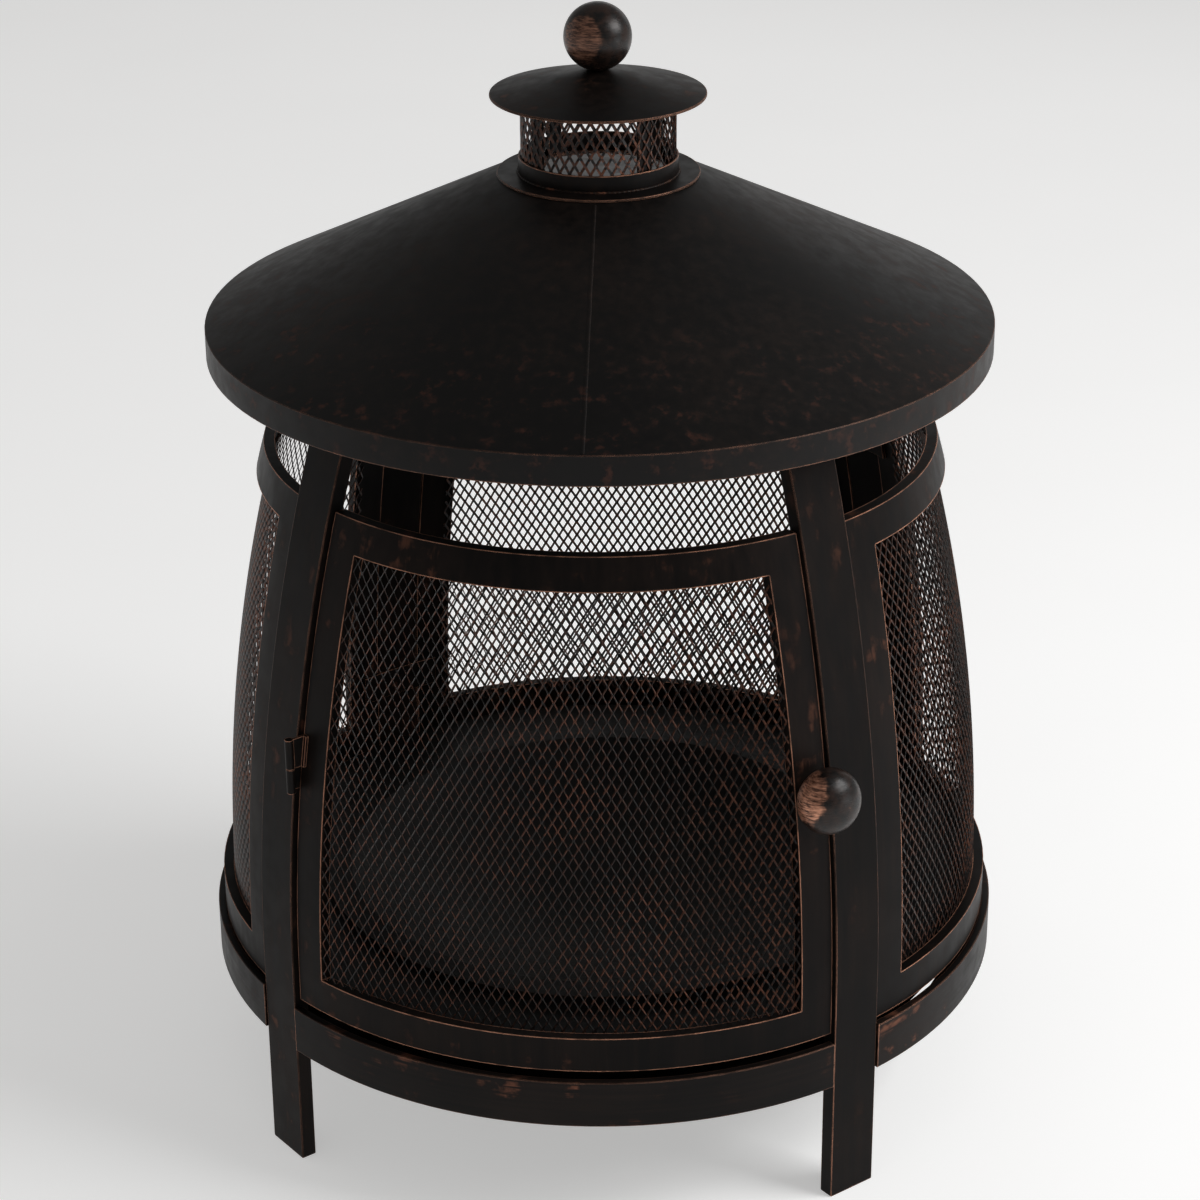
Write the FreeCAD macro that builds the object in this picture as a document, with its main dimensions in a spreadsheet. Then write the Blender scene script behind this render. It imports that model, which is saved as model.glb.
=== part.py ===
import FreeCAD, Part
import math
import os

import Sketcher

# Chiminea: round garden fire basket on four bowed legs, with curved mesh panels,
# a mesh door, a fire bowl, a cone roof and a short capped chimney.
# Millimetres. Origin at the centre of the ground, +Z up, the door faces -Y.

SIZES = {
    # legs and the bow they share with every curved panel
    "leg_r": 314.4,
    "leg_w": 42.0,
    "leg_t": 12.4,
    "leg_top_z": 648.0,
    "bow_c": 1055.2,
    "bend_z": 168.0,
    # base band between the legs
    "band_r": 316.5,
    "band_t": 6.5,
    "band_z0": 101.0,
    "band_z1": 139.0,
    "band_gap": 1.0,
    "shelf_r": 286.0,
    "shelf_t": 2.0,
    # curved frames
    "frame_t": 8.5,
    "frame_z0": 142.0,
    "frame_z1": 535.0,
    "rail_low": 28.0,
    "rail_top": 25.0,
    "stile_w": 27.0,
    "panel_stile_w": 31.0,
    "panel_step": 3.9,
    "door_step": 3.0,
    "door_gap": 1.8,
    "door_shift": 0.9,
    "door_z0": 146.0,
    "door_z1": 538.0,
    "mesh_t": 0.6,
    "mesh_lap": 8.0,
    # tabs that hold the fixed panels to the legs
    "tab_t": 2.9,
    "tab_slack": 0.3,
    "tab_high": 25.0,
    "tab_low_z": 190.0,
    "tab_up_z": 452.0,
    "tab_arc": 14.4,
    "tab_arc_short": 10.2,
    # hinge
    "hinge_out": 309.8,
    "hinge_side": 25.3,
    "hinge_z": 345.0,
    "knuckle_len": 24.0,
    "lower_len": 20.0,
    "knuckle_gap": 0.4,
    "knuckle_r": 3.3,
    "pin_r": 1.6,
    "hinge_play": 0.05,
    "leaf_t": 2.4,
    "leaf_foot": 2.8,
    # knob and latch
    "knob_z": 349.0,
    "knob_side": 34.6,
    "knob_r": 24.8,
    "knob_half": 19.6,
    "knob_out": 21.9,
    "neck_r": 9.0,
    "neck_gap": 0.5,
    "stem_r": 4.0,
    "stem_play": 0.05,
    "latch_gap": 5.4,
    "latch_t": 3.0,
    "latch_w": 14.0,
    "latch_long": 45.0,
    "latch_short": 10.0,
    "nut_flats": 13.0,
    "nut_high": 6.0,
    # door stops
    "stop_z_low": 245.0,
    "stop_z_up": 504.0,
    "stop_high": 20.0,
    "stop_t": 3.0,
    "stop_back": 4.0,
    "stop_edge": 20.8,
    "stop_reach": 35.0,
    "stop_depth": 1.9,
    # fire bowl and base plate
    "bowl_a": 314.0,
    "bowl_t": 1.6,
    "bowl_z0": 82.0,
    "bowl_z1": 160.0,
    "bowl_rim_r": 229.0,
    "plate_r": 288.0,
    "plate_hole_r": 221.0,
    "plate_z1": 152.0,
    "skirt_z": 112.0,
    "bracket_w": 30.0,
    "bracket_t": 3.0,
    "bracket_arm": 30.0,
    "bracket_drop": 30.0,
    # roof
    "roof_r": 300.0,
    "roof_t": 2.0,
    "lip_z0": 607.0,
    "lip_z1": 630.0,
    "land_r": 76.0,
    "land_z": 738.5,
    "flue_r": 56.0,
    "roof_tab_w": 30.0,
    "roof_tab_t": 3.0,
    "roof_tab_z0": 612.0,
    "roof_tab_z1": 650.0,
    "roof_tab_out": 36.0,
    "roof_tab_gap": 0.5,
    "bolt_z": 632.0,
    "bolt_r": 3.0,
    "bolt_hole_r": 3.3,
    "bolt_flats": 10.0,
    "bolt_head": 4.0,
    "bolt_len": 25.0,
    "bolt_nut": 5.0,
    # chimney
    "flange_r": 76.5,
    "flange_t": 2.0,
    "collar_r": 60.2,
    "collar_t": 1.6,
    "collar_high": 13.0,
    "post_r": 57.2,
    "post_t": 3.0,
    "post_w": 12.0,
    "post_z1": 803.0,
    "flue_mesh_r": 58.2,
    "flue_mesh_z1": 802.5,
    "spider_z0": 799.5,
    "spider_t": 2.8,
    "spider_w": 12.0,
    "cap_r": 81.0,
    "cap_t": 1.8,
    "cap_z1": 800.4,
    "cap_top_r": 8.0,
    "cap_top_z": 817.8,
    # finial
    "ball_r": 25.4,
    "ball_z": 842.5,
    "stud_r": 4.0,
    "stud_hole_r": 4.1,
    "stud_z0": 788.0,
    "stud_z1": 836.0,
}

# polar directions, degrees, of the four legs and the four sides
LEGS = {"front_left": -135.0, "front_right": -45.0, "back_right": 45.0, "back_left": 135.0}
SIDES = {"front": -90.0, "right": 0.0, "back": 90.0, "left": 180.0}

doc = FreeCAD.newDocument("chiminea")
sheet = doc.addObject("Spreadsheet::Sheet", "dims")
used_cells = []
nodes = {}


def fill_cell(alias, content):
    """Writes one named cell in the next free row."""
    used_cells.append(alias)
    row = len(used_cells)
    sheet.set("A%d" % row, alias)
    sheet.set("B%d" % row, str(content))
    sheet.setAlias("B%d" % row, alias)


def cell(alias, content):
    """Adds a named cell once, works it out and returns its alias."""
    if alias not in used_cells:
        fill_cell(alias, content)
        sheet.recompute()
    return alias


def size(alias):
    """Value of a named size. A leading minus gives its negative."""
    if alias == "0":
        return 0.0
    if alias.startswith("-"):
        return -size(alias[1:])
    value = sheet.get(alias)
    return float(getattr(value, "Value", value))


def link(alias):
    """Expression that reads a named size."""
    if alias.startswith("-"):
        return "-dims." + alias[1:]
    return "dims." + alias


def bind(obj, **links):
    """Binds properties to named sizes."""
    for name, alias in links.items():
        obj.setExpression(name, link(alias))


for size_name, number in SIZES.items():
    fill_cell(size_name, number)
sheet.recompute()


def turn(polar):
    """Placement turned about the vertical axis."""
    return FreeCAD.Placement(FreeCAD.Vector(), FreeCAD.Rotation(FreeCAD.Vector(0, 0, 1), polar))


def new_body(name):
    body = doc.addObject("PartDesign::Body", name)
    body.Label = name
    return body


def plane_of(body, role):
    for feature in body.Origin.OriginFeatures:
        if feature.Role == role:
            return feature
    raise ValueError(role)


def arc_between(start, end, centre, radius, rising):
    """Arc of a circle and the point numbers of its start and end."""
    first = math.atan2(start.y - centre.y, start.x - centre.x)
    last = math.atan2(end.y - centre.y, end.x - centre.x)
    circle = Part.Circle(centre, FreeCAD.Vector(0, 0, 1), radius)
    if rising:
        return Part.ArcOfCircle(circle, first, last), 1, 2
    return Part.ArcOfCircle(circle, last, first), 2, 1


def pin_point(sketch, edge, point, corner):
    """Fixes one corner of an outline to its two named sizes."""
    for kind, axis, alias in (("DistanceX", -2, corner[0]), ("DistanceY", -1, corner[1])):
        if alias == "0":
            sketch.addConstraint(Sketcher.Constraint("PointOnObject", edge, point, axis))
            continue
        value = size(alias)
        index = sketch.addConstraint(Sketcher.Constraint(kind, -1, 1, edge, point, value))
        sketch.setExpression("Constraints[%d]" % index, link(alias))


def add_outline(sketch, corners, arcs=None):
    """Adds a closed outline through named corners. arcs: edge -> (centre, radius, rising)."""
    arcs = arcs or {}
    first_edge = sketch.GeometryCount
    count = len(corners)
    points = [FreeCAD.Vector(size(a), size(b), 0) for a, b in corners]
    ends = []
    for i in range(count):
        start = points[i]
        end = points[(i + 1) % count]
        if i in arcs:
            centre, radius, rising = arcs[i]
            middle = FreeCAD.Vector(size(centre[0]), size(centre[1]), 0)
            shape, begin_point, end_point = arc_between(start, end, middle, size(radius), rising)
        else:
            shape, begin_point, end_point = Part.LineSegment(start, end), 1, 2
        sketch.addGeometry(shape, False)
        ends.append((begin_point, end_point))
    for i in range(count):
        after = (i + 1) % count
        joint = Sketcher.Constraint(
            "Coincident", first_edge + i, ends[i][1], first_edge + after, ends[after][0])
        sketch.addConstraint(joint)
    for i in range(count):
        pin_point(sketch, first_edge + i, ends[i][0], corners[i])
        if i in arcs:
            radius = arcs[i][1]
            index = sketch.addConstraint(
                Sketcher.Constraint("Radius", first_edge + i, size(radius)))
            sketch.setExpression("Constraints[%d]" % index, link(radius))


def new_sketch(body, name, role):
    sketch = body.newObject("Sketcher::SketchObject", name)
    sketch.AttachmentSupport = [(plane_of(body, role), "")]
    sketch.MapMode = "FlatFace"
    return sketch


def spun_body(name, corners, arcs=None, arc_alias=None):
    """Body of revolution about Z. arc_alias limits it to a part turn centred on +X."""
    body = new_body(name)
    sketch = new_sketch(body, "Section", "XZ_Plane")
    add_outline(sketch, corners, arcs)
    spin = body.newObject("PartDesign::Revolution", "Spin")
    spin.Profile = sketch
    spin.ReferenceAxis = (sketch, ["V_Axis"])
    if arc_alias:
        spin.Midplane = True
        bind(spin, Angle=arc_alias)
    else:
        spin.Angle = 360
    body.Tip = spin
    return body


def bar_body(name, corners, width, arcs=None):
    """Body padded both ways from an upright section through +X."""
    body = new_body(name)
    sketch = new_sketch(body, "Section", "XZ_Plane")
    add_outline(sketch, corners, arcs)
    pad = body.newObject("PartDesign::Pad", "Width")
    pad.Profile = sketch
    pad.SideType = "Symmetric"
    bind(pad, Length=width)
    body.Tip = pad
    return body


def plan_body(name, corners, high, both_ways=False):
    """Body padded up from an outline in plan."""
    body = new_body(name)
    sketch = new_sketch(body, "Plan", "XY_Plane")
    add_outline(sketch, corners)
    pad = body.newObject("PartDesign::Pad", "High")
    pad.Profile = sketch
    if both_ways:
        pad.SideType = "Symmetric"
    bind(pad, Length=high)
    body.Tip = pad
    return body


def bow_x(base, height):
    """Named cell: radius of the bowed line that starts at radius base, at a height."""
    alias = "bow_%s_%s" % (base, height)
    formula = "=sqrt((%s + bow_c)^2 - (%s - bend_z)^2) - bow_c" % (base, height)
    return cell(alias, formula)


def bow_radius(base):
    return cell("bowr_%s" % base, "=%s + bow_c" % base)


def bowed_strip(outer, inner, low, high):
    """Upright section of a strip that follows the bow between two radii and two heights."""
    cell("bow_centre", "=-bow_c")
    centre = ("bow_centre", "bend_z")
    top_out = (bow_x(outer, high), high)
    top_in = (bow_x(inner, high), high)
    below_bend = size(low) < size("bend_z")
    if below_bend:
        corners = [(outer, low), (outer, "bend_z"), top_out, top_in, (inner, "bend_z"), (inner, low)]
        arcs = {1: (centre, bow_radius(outer), True), 3: (centre, bow_radius(inner), False)}
    else:
        corners = [(bow_x(outer, low), low), top_out, top_in, (bow_x(inner, low), low)]
        arcs = {0: (centre, bow_radius(outer), True), 2: (centre, bow_radius(inner), False)}
    return corners, arcs


def cut_wedge_sides(body, edge):
    """Trims both ends of an arc parallel to the legs beside it, edge away from their middle."""
    apex = cell("apex_" + edge, "=%s * sqrt(2)" % edge)
    far = cell("far_" + edge, "=420 - apex_%s" % edge)
    reach = cell("reach_plan", "420")
    sketch = new_sketch(body, "Ends", "XY_Plane")
    add_outline(sketch, [(apex, "0"), (reach, far), (apex, far)])
    add_outline(sketch, [(apex, "0"), (reach, "-" + far), (apex, "-" + far)])
    pocket = body.newObject("PartDesign::Pocket", "TrimEnds")
    pocket.Profile = sketch
    pocket.SideType = "Symmetric"
    pocket.Type = "ThroughAll"
    body.Tip = pocket


def cut_window(body, edge, low, high):
    """Opens the window of a curved frame."""
    apex = cell("apex_" + edge, "=%s * sqrt(2)" % edge)
    far = cell("far_" + edge, "=420 - apex_%s" % edge)
    reach = cell("reach_plan", "420")
    tall = cell("tall_" + edge, "=%s - %s" % (high, low))
    sketch = new_sketch(body, "Window", "XY_Plane")
    sketch.setExpression("AttachmentOffset.Base.z", link(low))
    add_outline(sketch, [(apex, "0"), (reach, "-" + far), (reach, far)])
    pocket = body.newObject("PartDesign::Pocket", "OpenWindow")
    pocket.Profile = sketch
    pocket.Reversed = True
    bind(pocket, Length=tall)
    body.Tip = pocket


def cylinder(name, radius, tall, base=None):
    """Round bar along its own Z, from base up."""
    part = doc.addObject("Part::Cylinder", name)
    bind(part, Radius=radius, Height=tall)
    if base:
        part.setExpression("Placement.Base.z", link(base))
    return part


def prism(name, flats, tall, base=None):
    """Hexagon bar along its own Z, by its width across flats."""
    corner = cell("corner_" + flats, "=%s / sqrt(3)" % flats)
    part = doc.addObject("Part::Prism", name)
    part.Polygon = 6
    bind(part, Circumradius=corner, Height=tall)
    if base:
        part.setExpression("Placement.Base.z", link(base))
    return part


def cut(name, base, tool):
    part = doc.addObject("Part::Cut", name)
    part.Base = base
    part.Tool = tool
    return part


def fuse(name, parts):
    part = doc.addObject("Part::MultiFuse", name)
    part.Shapes = parts
    return part


def group(name, parts):
    part = doc.addObject("Part::Compound", name)
    part.Links = parts
    return part


def keep(name, part, placement=None):
    """Names a sub-part, places it and lists it for export."""
    part.Label = name
    if placement is not None:
        part.Placement = placement
    nodes[name] = part
    return part


# ---- shared derived sizes ----
cell("leg_in", "=leg_r - leg_t")
cell("leg_half", "=leg_w / 2")
cell("band_in", "=band_r - band_t")
cell("shelf_z1", "=band_z0 + shelf_t")
cell("band_edge", "=leg_half + band_gap")
cell("panel_out", "=leg_r - panel_step")
cell("panel_in", "=panel_out - frame_t")
cell("door_out", "=leg_r - door_step")
cell("door_in", "=door_out - frame_t")
cell("door_edge", "=leg_half + door_gap")
cell("panel_win", "=leg_half + panel_stile_w")
cell("door_win", "=door_edge + stile_w")
cell("panel_lap", "=panel_win - mesh_lap")
cell("door_lap", "=door_win - mesh_lap")
cell("panel_mesh_in", "=panel_in - mesh_t")
cell("door_mesh_in", "=door_in - mesh_t")
cell("win_z0", "=frame_z0 + rail_low")
cell("win_z1", "=frame_z1 - rail_top")
cell("mesh_z0", "=win_z0 - mesh_lap")
cell("mesh_z1", "=win_z1 + mesh_lap")
cell("door_win_z0", "=door_z0 + rail_low")
cell("door_win_z1", "=door_z1 - rail_top")
cell("door_mesh_z0", "=door_win_z0 - mesh_lap")
cell("door_mesh_z1", "=door_win_z1 + mesh_lap")
cell("full_arc", "100")


# ---- bolt frame: middle of the bolt hole on the outer face of a leg, +Z outwards ----
bolt_slope = math.asin((size("bolt_z") - size("bend_z")) / size(bow_radius("leg_r")))
bolt_frame = FreeCAD.Placement(
    FreeCAD.Vector(size(bow_x("leg_r", "bolt_z")), 0, size("bolt_z")),
    FreeCAD.Rotation(FreeCAD.Vector(0, 1, 0), 90 - math.degrees(bolt_slope)))


def bolt_hole(name):
    """Drill along the bolt, through the top of a leg and its roof tab."""
    cell("drill_len", "60")
    drill = cylinder(name, "bolt_hole_r", "drill_len")
    drill.Placement = bolt_frame * FreeCAD.Placement(FreeCAD.Vector(0, 0, -30), FreeCAD.Rotation())
    return drill


# ---- legs ----
for leg, polar in LEGS.items():
    corners, arcs = bowed_strip("leg_r", "leg_in", "0", "leg_top_z")
    bar = bar_body(leg + "_leg_bar", corners, "leg_w", arcs)
    drilled = cut(leg + "_leg_drilled", bar, bolt_hole(leg + "_leg_drill"))
    keep(leg + "_leg", drilled, turn(polar))

# ---- base bands: rolled angle, with a thin shelf turned in at the foot ----
for side, polar in SIDES.items():
    section = [("shelf_r", "band_z0"), ("band_r", "band_z0"), ("band_r", "band_z1"),
               ("band_in", "band_z1"), ("band_in", "shelf_z1"), ("shelf_r", "shelf_z1")]
    band = spun_body(side + "_band", section, arc_alias="full_arc")
    cut_wedge_sides(band, "band_edge")
    keep(side + "_band", band, turn(polar))


def curved_frame(name, radii, edge, window, ends, opening):
    """Frame of a panel: outer and inner radius, side edge, window edge, ends and window heights."""
    corners, arcs = bowed_strip(*radii, *ends)
    frame = spun_body(name, corners, arcs, "full_arc")
    cut_wedge_sides(frame, edge)
    cut_window(frame, window, *opening)
    return frame


def curved_mesh(name, radii, edge, ends):
    corners, arcs = bowed_strip(*radii, *ends)
    mesh = spun_body(name, corners, arcs, "full_arc")
    cut_wedge_sides(mesh, edge)
    return mesh


# ---- fixed panels ----
for side in ("left", "right", "back"):
    frame = curved_frame(side + "_panel_frame", ("panel_out", "panel_in"), "leg_half", "panel_win",
                         ("frame_z0", "frame_z1"), ("win_z0", "win_z1"))
    keep(side + "_panel_frame", frame, turn(SIDES[side]))
    mesh = curved_mesh(side + "_panel_mesh", ("panel_in", "panel_mesh_in"), "panel_lap",
                       ("mesh_z0", "mesh_z1"))
    keep(side + "_panel_mesh", mesh, turn(SIDES[side]))

# ---- tabs behind the legs that carry the fixed panels ----
cell("tab_out", "=leg_in - tab_slack")
cell("tab_in", "=tab_out - tab_t")
cell("tab_low_z1", "=tab_low_z + tab_high")
cell("tab_up_z1", "=tab_up_z + tab_high")
short_turn = (size("tab_arc") - size("tab_arc_short")) / 2
TAB_TURNS = {"front_left": -short_turn, "front_right": short_turn, "back_right": 0.0, "back_left": 0.0}
for leg, polar in LEGS.items():
    whole = TAB_TURNS[leg] == 0.0
    pair = []
    for level, low, high in (("low", "tab_low_z", "tab_low_z1"), ("up", "tab_up_z", "tab_up_z1")):
        corners, arcs = bowed_strip("tab_out", "tab_in", low, high)
        tab = spun_body("%s_tab_%s" % (leg, level), corners, arcs,
                        "tab_arc" if whole else "tab_arc_short")
        pair.append(tab)
    keep(leg + "_tabs", group(leg + "_tab_pair", pair), turn(polar + TAB_TURNS[leg]))

# ---- knob frame: on the outer face of the door stile, +Z outwards, +Y up the door ----
door_x = size(bow_x("door_out", "knob_z"))
knob_polar = math.radians(SIDES["front"] + 45.0) - math.asin(size("knob_side") / door_x)
knob_slope = math.asin((size("knob_z") - size("bend_z")) / size(bow_radius("door_out")))
radial = FreeCAD.Vector(math.cos(knob_polar), math.sin(knob_polar), 0)
upward = FreeCAD.Vector(0, 0, 1)
knob_normal = radial * math.cos(knob_slope) + upward * math.sin(knob_slope)
knob_up = upward * math.cos(knob_slope) - radial * math.sin(knob_slope)
knob_point = radial * door_x + upward * size("knob_z")
knob_frame = FreeCAD.Placement(
    knob_point, FreeCAD.Rotation(knob_up.cross(knob_normal), knob_up, knob_normal, "ZYX"))

# ---- door ----
shift_turn = math.degrees(size("door_shift") / size("door_out"))
front = turn(SIDES["front"] + shift_turn)
leaf = curved_frame("door_leaf", ("door_out", "door_in"), "door_edge", "door_win",
                    ("door_z0", "door_z1"), ("door_win_z0", "door_win_z1"))
cell("stem_hole_r", "=stem_r + stem_play")
cell("stem_drill_len", "40")
stem_drill = cylinder("stem_drill", "stem_hole_r", "stem_drill_len")
down_twenty = FreeCAD.Placement(FreeCAD.Vector(0, 0, -20), FreeCAD.Rotation())
stem_drill.Placement = front.inverse() * knob_frame * down_twenty
keep("door_frame", cut("door_drilled", leaf, stem_drill), front)
door_sheet = curved_mesh("door_mesh", ("door_in", "door_mesh_in"), "door_lap",
                         ("door_mesh_z0", "door_mesh_z1"))
keep("door_mesh", door_sheet, front)

# ---- knob, stem, latch tab and nut, in the knob frame ----
ball = doc.addObject("Part::Ellipsoid", "knob_ball")
bind(ball, Radius1="knob_half", Radius2="knob_r", Radius3="knob_r")
ball.Angle1 = -90
ball.setExpression("Placement.Base.z", link("knob_out"))
cell("neck_len", "=knob_out - neck_gap")
neck = cylinder("knob_neck", "neck_r", "neck_len", "neck_gap")
cell("knob_bore_len", "=knob_out - 5")
bore = cylinder("knob_bore", "stem_r", "knob_bore_len")
keep("door_knob", cut("knob_bored", fuse("knob_solid", [ball, neck]), bore), knob_frame)

cell("latch_z1", "=-frame_t - latch_gap")
cell("latch_z0", "=latch_z1 - latch_t")
cell("nut_z0", "=latch_z0 - nut_high")
cell("stem_z0", "=nut_z0 - 1.5")
cell("stem_len", "=knob_bore_len - stem_z0")
stem_start = FreeCAD.Placement(FreeCAD.Vector(0, 0, size("stem_z0")), FreeCAD.Rotation())
keep("knob_stem", cylinder("knob_stem", "stem_r", "stem_len"), knob_frame * stem_start)

cell("latch_half", "=latch_w / 2")
strip = plan_body("latch_strip", [
    ("-latch_half", "-latch_short"), ("latch_half", "-latch_short"),
    ("latch_half", "latch_long"), ("-latch_half", "latch_long")], "latch_t")
strip.setExpression("Placement.Base.z", link("latch_z0"))
latch_hole = cylinder("latch_hole", "stem_hole_r", "latch_t", "latch_z0")
keep("latch_tab", cut("latch_drilled", strip, latch_hole), knob_frame)

nut_blank = prism("latch_nut_blank", "nut_flats", "nut_high", "nut_z0")
nut_hole = cylinder("latch_nut_hole", "stem_r", "nut_high", "nut_z0")
keep("latch_nut", cut("latch_nut_bored", nut_blank, nut_hole), knob_frame)

# ---- hinge frame: on the hinge axis, +X towards the door, +Y towards the middle ----
leg_out = FreeCAD.Vector(-1, -1, 0).normalize()
leg_side = FreeCAD.Vector(1, -1, 0).normalize()
hinge_point = leg_out * size("hinge_out") + leg_side * size("hinge_side")
hinge_frame = FreeCAD.Placement(
    hinge_point, FreeCAD.Rotation(FreeCAD.Vector(0, 0, 1), -45))

# upper barrel with a bent leaf that lands on the door stile
cell("upper_z0", "=hinge_z + knuckle_gap")
cell("upper_z1", "=upper_z0 + knuckle_len")
cell("bore_len", "=knuckle_len - 2.5")
cell("bore_r", "=pin_r + hinge_play")
cell("leaf_x0", "=-leaf_t / 5")
cell("leaf_x1", "=leaf_x0 + leaf_t")
cell("leaf_span", "=leaf_t")
land_low = cell("land_low", "=sqrt(%s^2 - hinge_side^2)" % bow_x("door_out", "upper_z0"))
land_high = cell("land_high", "=sqrt(%s^2 - hinge_side^2)" % bow_x("door_out", "upper_z1"))
cell("leaf_y_low", "=hinge_out - land_low - 0.1")
cell("leaf_y_high", "=hinge_out - land_high - 0.1")
cell("foot_y_low", "=leaf_y_low - leaf_t")
cell("foot_y_high", "=leaf_y_high - leaf_t")


def side_plate(name, corners, start, width):
    """Plate with its section in the YZ plane, from start along +X."""
    body = new_body(name)
    sketch = new_sketch(body, "Section", "YZ_Plane")
    sketch.setExpression("AttachmentOffset.Base.z", link(start))
    add_outline(sketch, corners)
    pad = body.newObject("PartDesign::Pad", "Width")
    pad.Profile = sketch
    bind(pad, Length=width)
    body.Tip = pad
    return body


barrel = cylinder("upper_barrel", "knuckle_r", "knuckle_len", "upper_z0")
web = side_plate("leaf_web", [
    ("0", "upper_z0"), ("leaf_y_low", "upper_z0"),
    ("leaf_y_high", "upper_z1"), ("0", "upper_z1")], "leaf_x0", "leaf_t")
foot = side_plate("leaf_plate", [
    ("foot_y_low", "upper_z0"), ("leaf_y_low", "upper_z0"),
    ("leaf_y_high", "upper_z1"), ("foot_y_high", "upper_z1")], "leaf_x1", "leaf_foot")
upper_bore = cylinder("upper_bore", "bore_r", "bore_len", "upper_z0")
upper = cut("upper_bored", fuse("upper_solid", [barrel, web, foot]), upper_bore)
keep("hinge_door_knuckle", upper, hinge_frame)

# lower barrel with a wedge that lands on the side of the leg
cell("lower_z0", "=hinge_z - lower_len")
cell("wedge_x0", "=leg_half - hinge_side")
cell("wedge_x1", "=wedge_x0 + 1.2")
cell("wedge_y1", "=12.0")
lower_barrel = cylinder("lower_barrel", "knuckle_r", "lower_len", "lower_z0")
wedge = plan_body("lower_wedge", [
    ("wedge_x0", "0"), ("wedge_x1", "0"),
    ("wedge_x1", "wedge_y1"), ("wedge_x0", "wedge_y1")], "lower_len")
wedge.setExpression("Placement.Base.z", link("lower_z0"))
lower_bore = cylinder("lower_bore", "pin_r", "lower_len", "lower_z0")
lower = cut("lower_bored", fuse("lower_solid", [lower_barrel, wedge]), lower_bore)
keep("hinge_leg_knuckle", lower, hinge_frame)

cell("hinge_pin_z0", "=lower_z0")
cell("hinge_pin_len", "=lower_len + knuckle_len - 3.6")
keep("hinge_pin", cylinder("hinge_pin", "pin_r", "hinge_pin_len", "hinge_pin_z0"), hinge_frame)

# ---- door stops on the inner face of the front right leg ----
cell("stop_slack", "0.1")
cell("stop_back_y", "=stop_depth + stop_t")
for level in ("low", "up"):
    height = "stop_z_" + level
    stop = plan_body("stop_" + level, [
        ("stop_back", "-stop_slack"), ("stop_edge", "-stop_slack"),
        ("stop_edge", "-stop_depth"), ("stop_reach", "-stop_depth"),
        ("stop_reach", "-stop_back_y"), ("stop_back", "-stop_back_y")], "stop_high", True)
    face_x = size(bow_x("leg_in", height))
    tilt = math.degrees(math.asin((size(height) - size("bend_z")) / size(bow_radius("leg_in"))))
    outwards = FreeCAD.Vector(1, -1, 0).normalize()
    place = FreeCAD.Placement(
        outwards * face_x + FreeCAD.Vector(0, 0, size(height)),
        FreeCAD.Rotation(FreeCAD.Vector(0, 0, 1), -135)
        * FreeCAD.Rotation(FreeCAD.Vector(1, 0, 0), tilt))
    keep("door_stop_" + level, stop, place)

# ---- fire bowl: round dish with a flat rim and a turned-down edge ----
cell("bowl_c", "=bowl_z0 + bowl_a")
cell("bowl_a_out", "=bowl_a + bowl_t")
cell("bowl_z_under", "=bowl_z1 - bowl_t")
cell("bowl_bottom", "=bowl_z0 - bowl_t")
cell("bowl_mouth", "=sqrt(bowl_a^2 - (bowl_c - bowl_z1)^2)")
cell("bowl_mouth_out", "=sqrt(bowl_a_out^2 - (bowl_c - bowl_z_under)^2)")
cell("bowl_edge_in", "=bowl_rim_r - bowl_t")
bowl_centre = ("0", "bowl_c")
bowl = spun_body("fire_bowl", [
    ("0", "bowl_bottom"), ("bowl_mouth_out", "bowl_z_under"), ("bowl_edge_in", "bowl_z_under"),
    ("bowl_edge_in", "plate_z1"), ("bowl_rim_r", "plate_z1"), ("bowl_rim_r", "bowl_z1"),
    ("bowl_mouth", "bowl_z1"), ("0", "bowl_z0")],
    {0: (bowl_centre, "bowl_a_out", True), 6: (bowl_centre, "bowl_a", False)})
keep("fire_bowl", bowl)

# ---- base plate: flat ring under the rim of the bowl, on a ring that stands on the brackets ----
cell("plate_z0", "=plate_z1 - bowl_t")
cell("skirt_in", "=plate_r - bowl_t")
plate = spun_body("base_plate", [
    ("plate_hole_r", "plate_z0"), ("plate_r", "plate_z0"),
    ("plate_r", "plate_z1"), ("plate_hole_r", "plate_z1")])
keep("base_plate", plate)
skirt = spun_body("base_skirt", [
    ("skirt_in", "skirt_z"), ("plate_r", "skirt_z"), ("plate_r", "plate_z0"), ("skirt_in", "plate_z0")])
keep("base_skirt", skirt)

# ---- brackets on the legs under the base skirt ----
cell("arm_x", "=leg_in - bracket_arm")
cell("arm_z", "=skirt_z - bracket_t")
cell("drop_x", "=leg_in - bracket_t")
cell("drop_z", "=skirt_z - bracket_drop")
for leg, polar in LEGS.items():
    bracket = bar_body(leg + "_bracket", [
        ("leg_in", "drop_z"), ("leg_in", "skirt_z"), ("arm_x", "skirt_z"),
        ("arm_x", "arm_z"), ("drop_x", "arm_z"), ("drop_x", "drop_z")], "bracket_w")
    keep(leg + "_bracket", bracket, turn(polar))

# ---- roof: cone with a straight lip and a flat land round the flue ----
cell("slope", "=(land_z - lip_z1) / (roof_r - land_r)")
cell("skin", "=roof_t * sqrt(1 + slope^2)")
cell("lip_in", "=roof_r - roof_t")
cell("lip_in_z", "=lip_z1 + roof_t * slope - skin")
cell("land_under", "=land_z - roof_t")
cell("land_in", "=roof_r - (land_under + skin - lip_z1) / slope")
roof = spun_body("roof", [
    ("roof_r", "lip_z0"), ("roof_r", "lip_z1"), ("land_r", "land_z"), ("flue_r", "land_z"),
    ("flue_r", "land_under"), ("land_in", "land_under"), ("lip_in", "lip_in_z"), ("lip_in", "lip_z0")])
keep("roof", roof)


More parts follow.
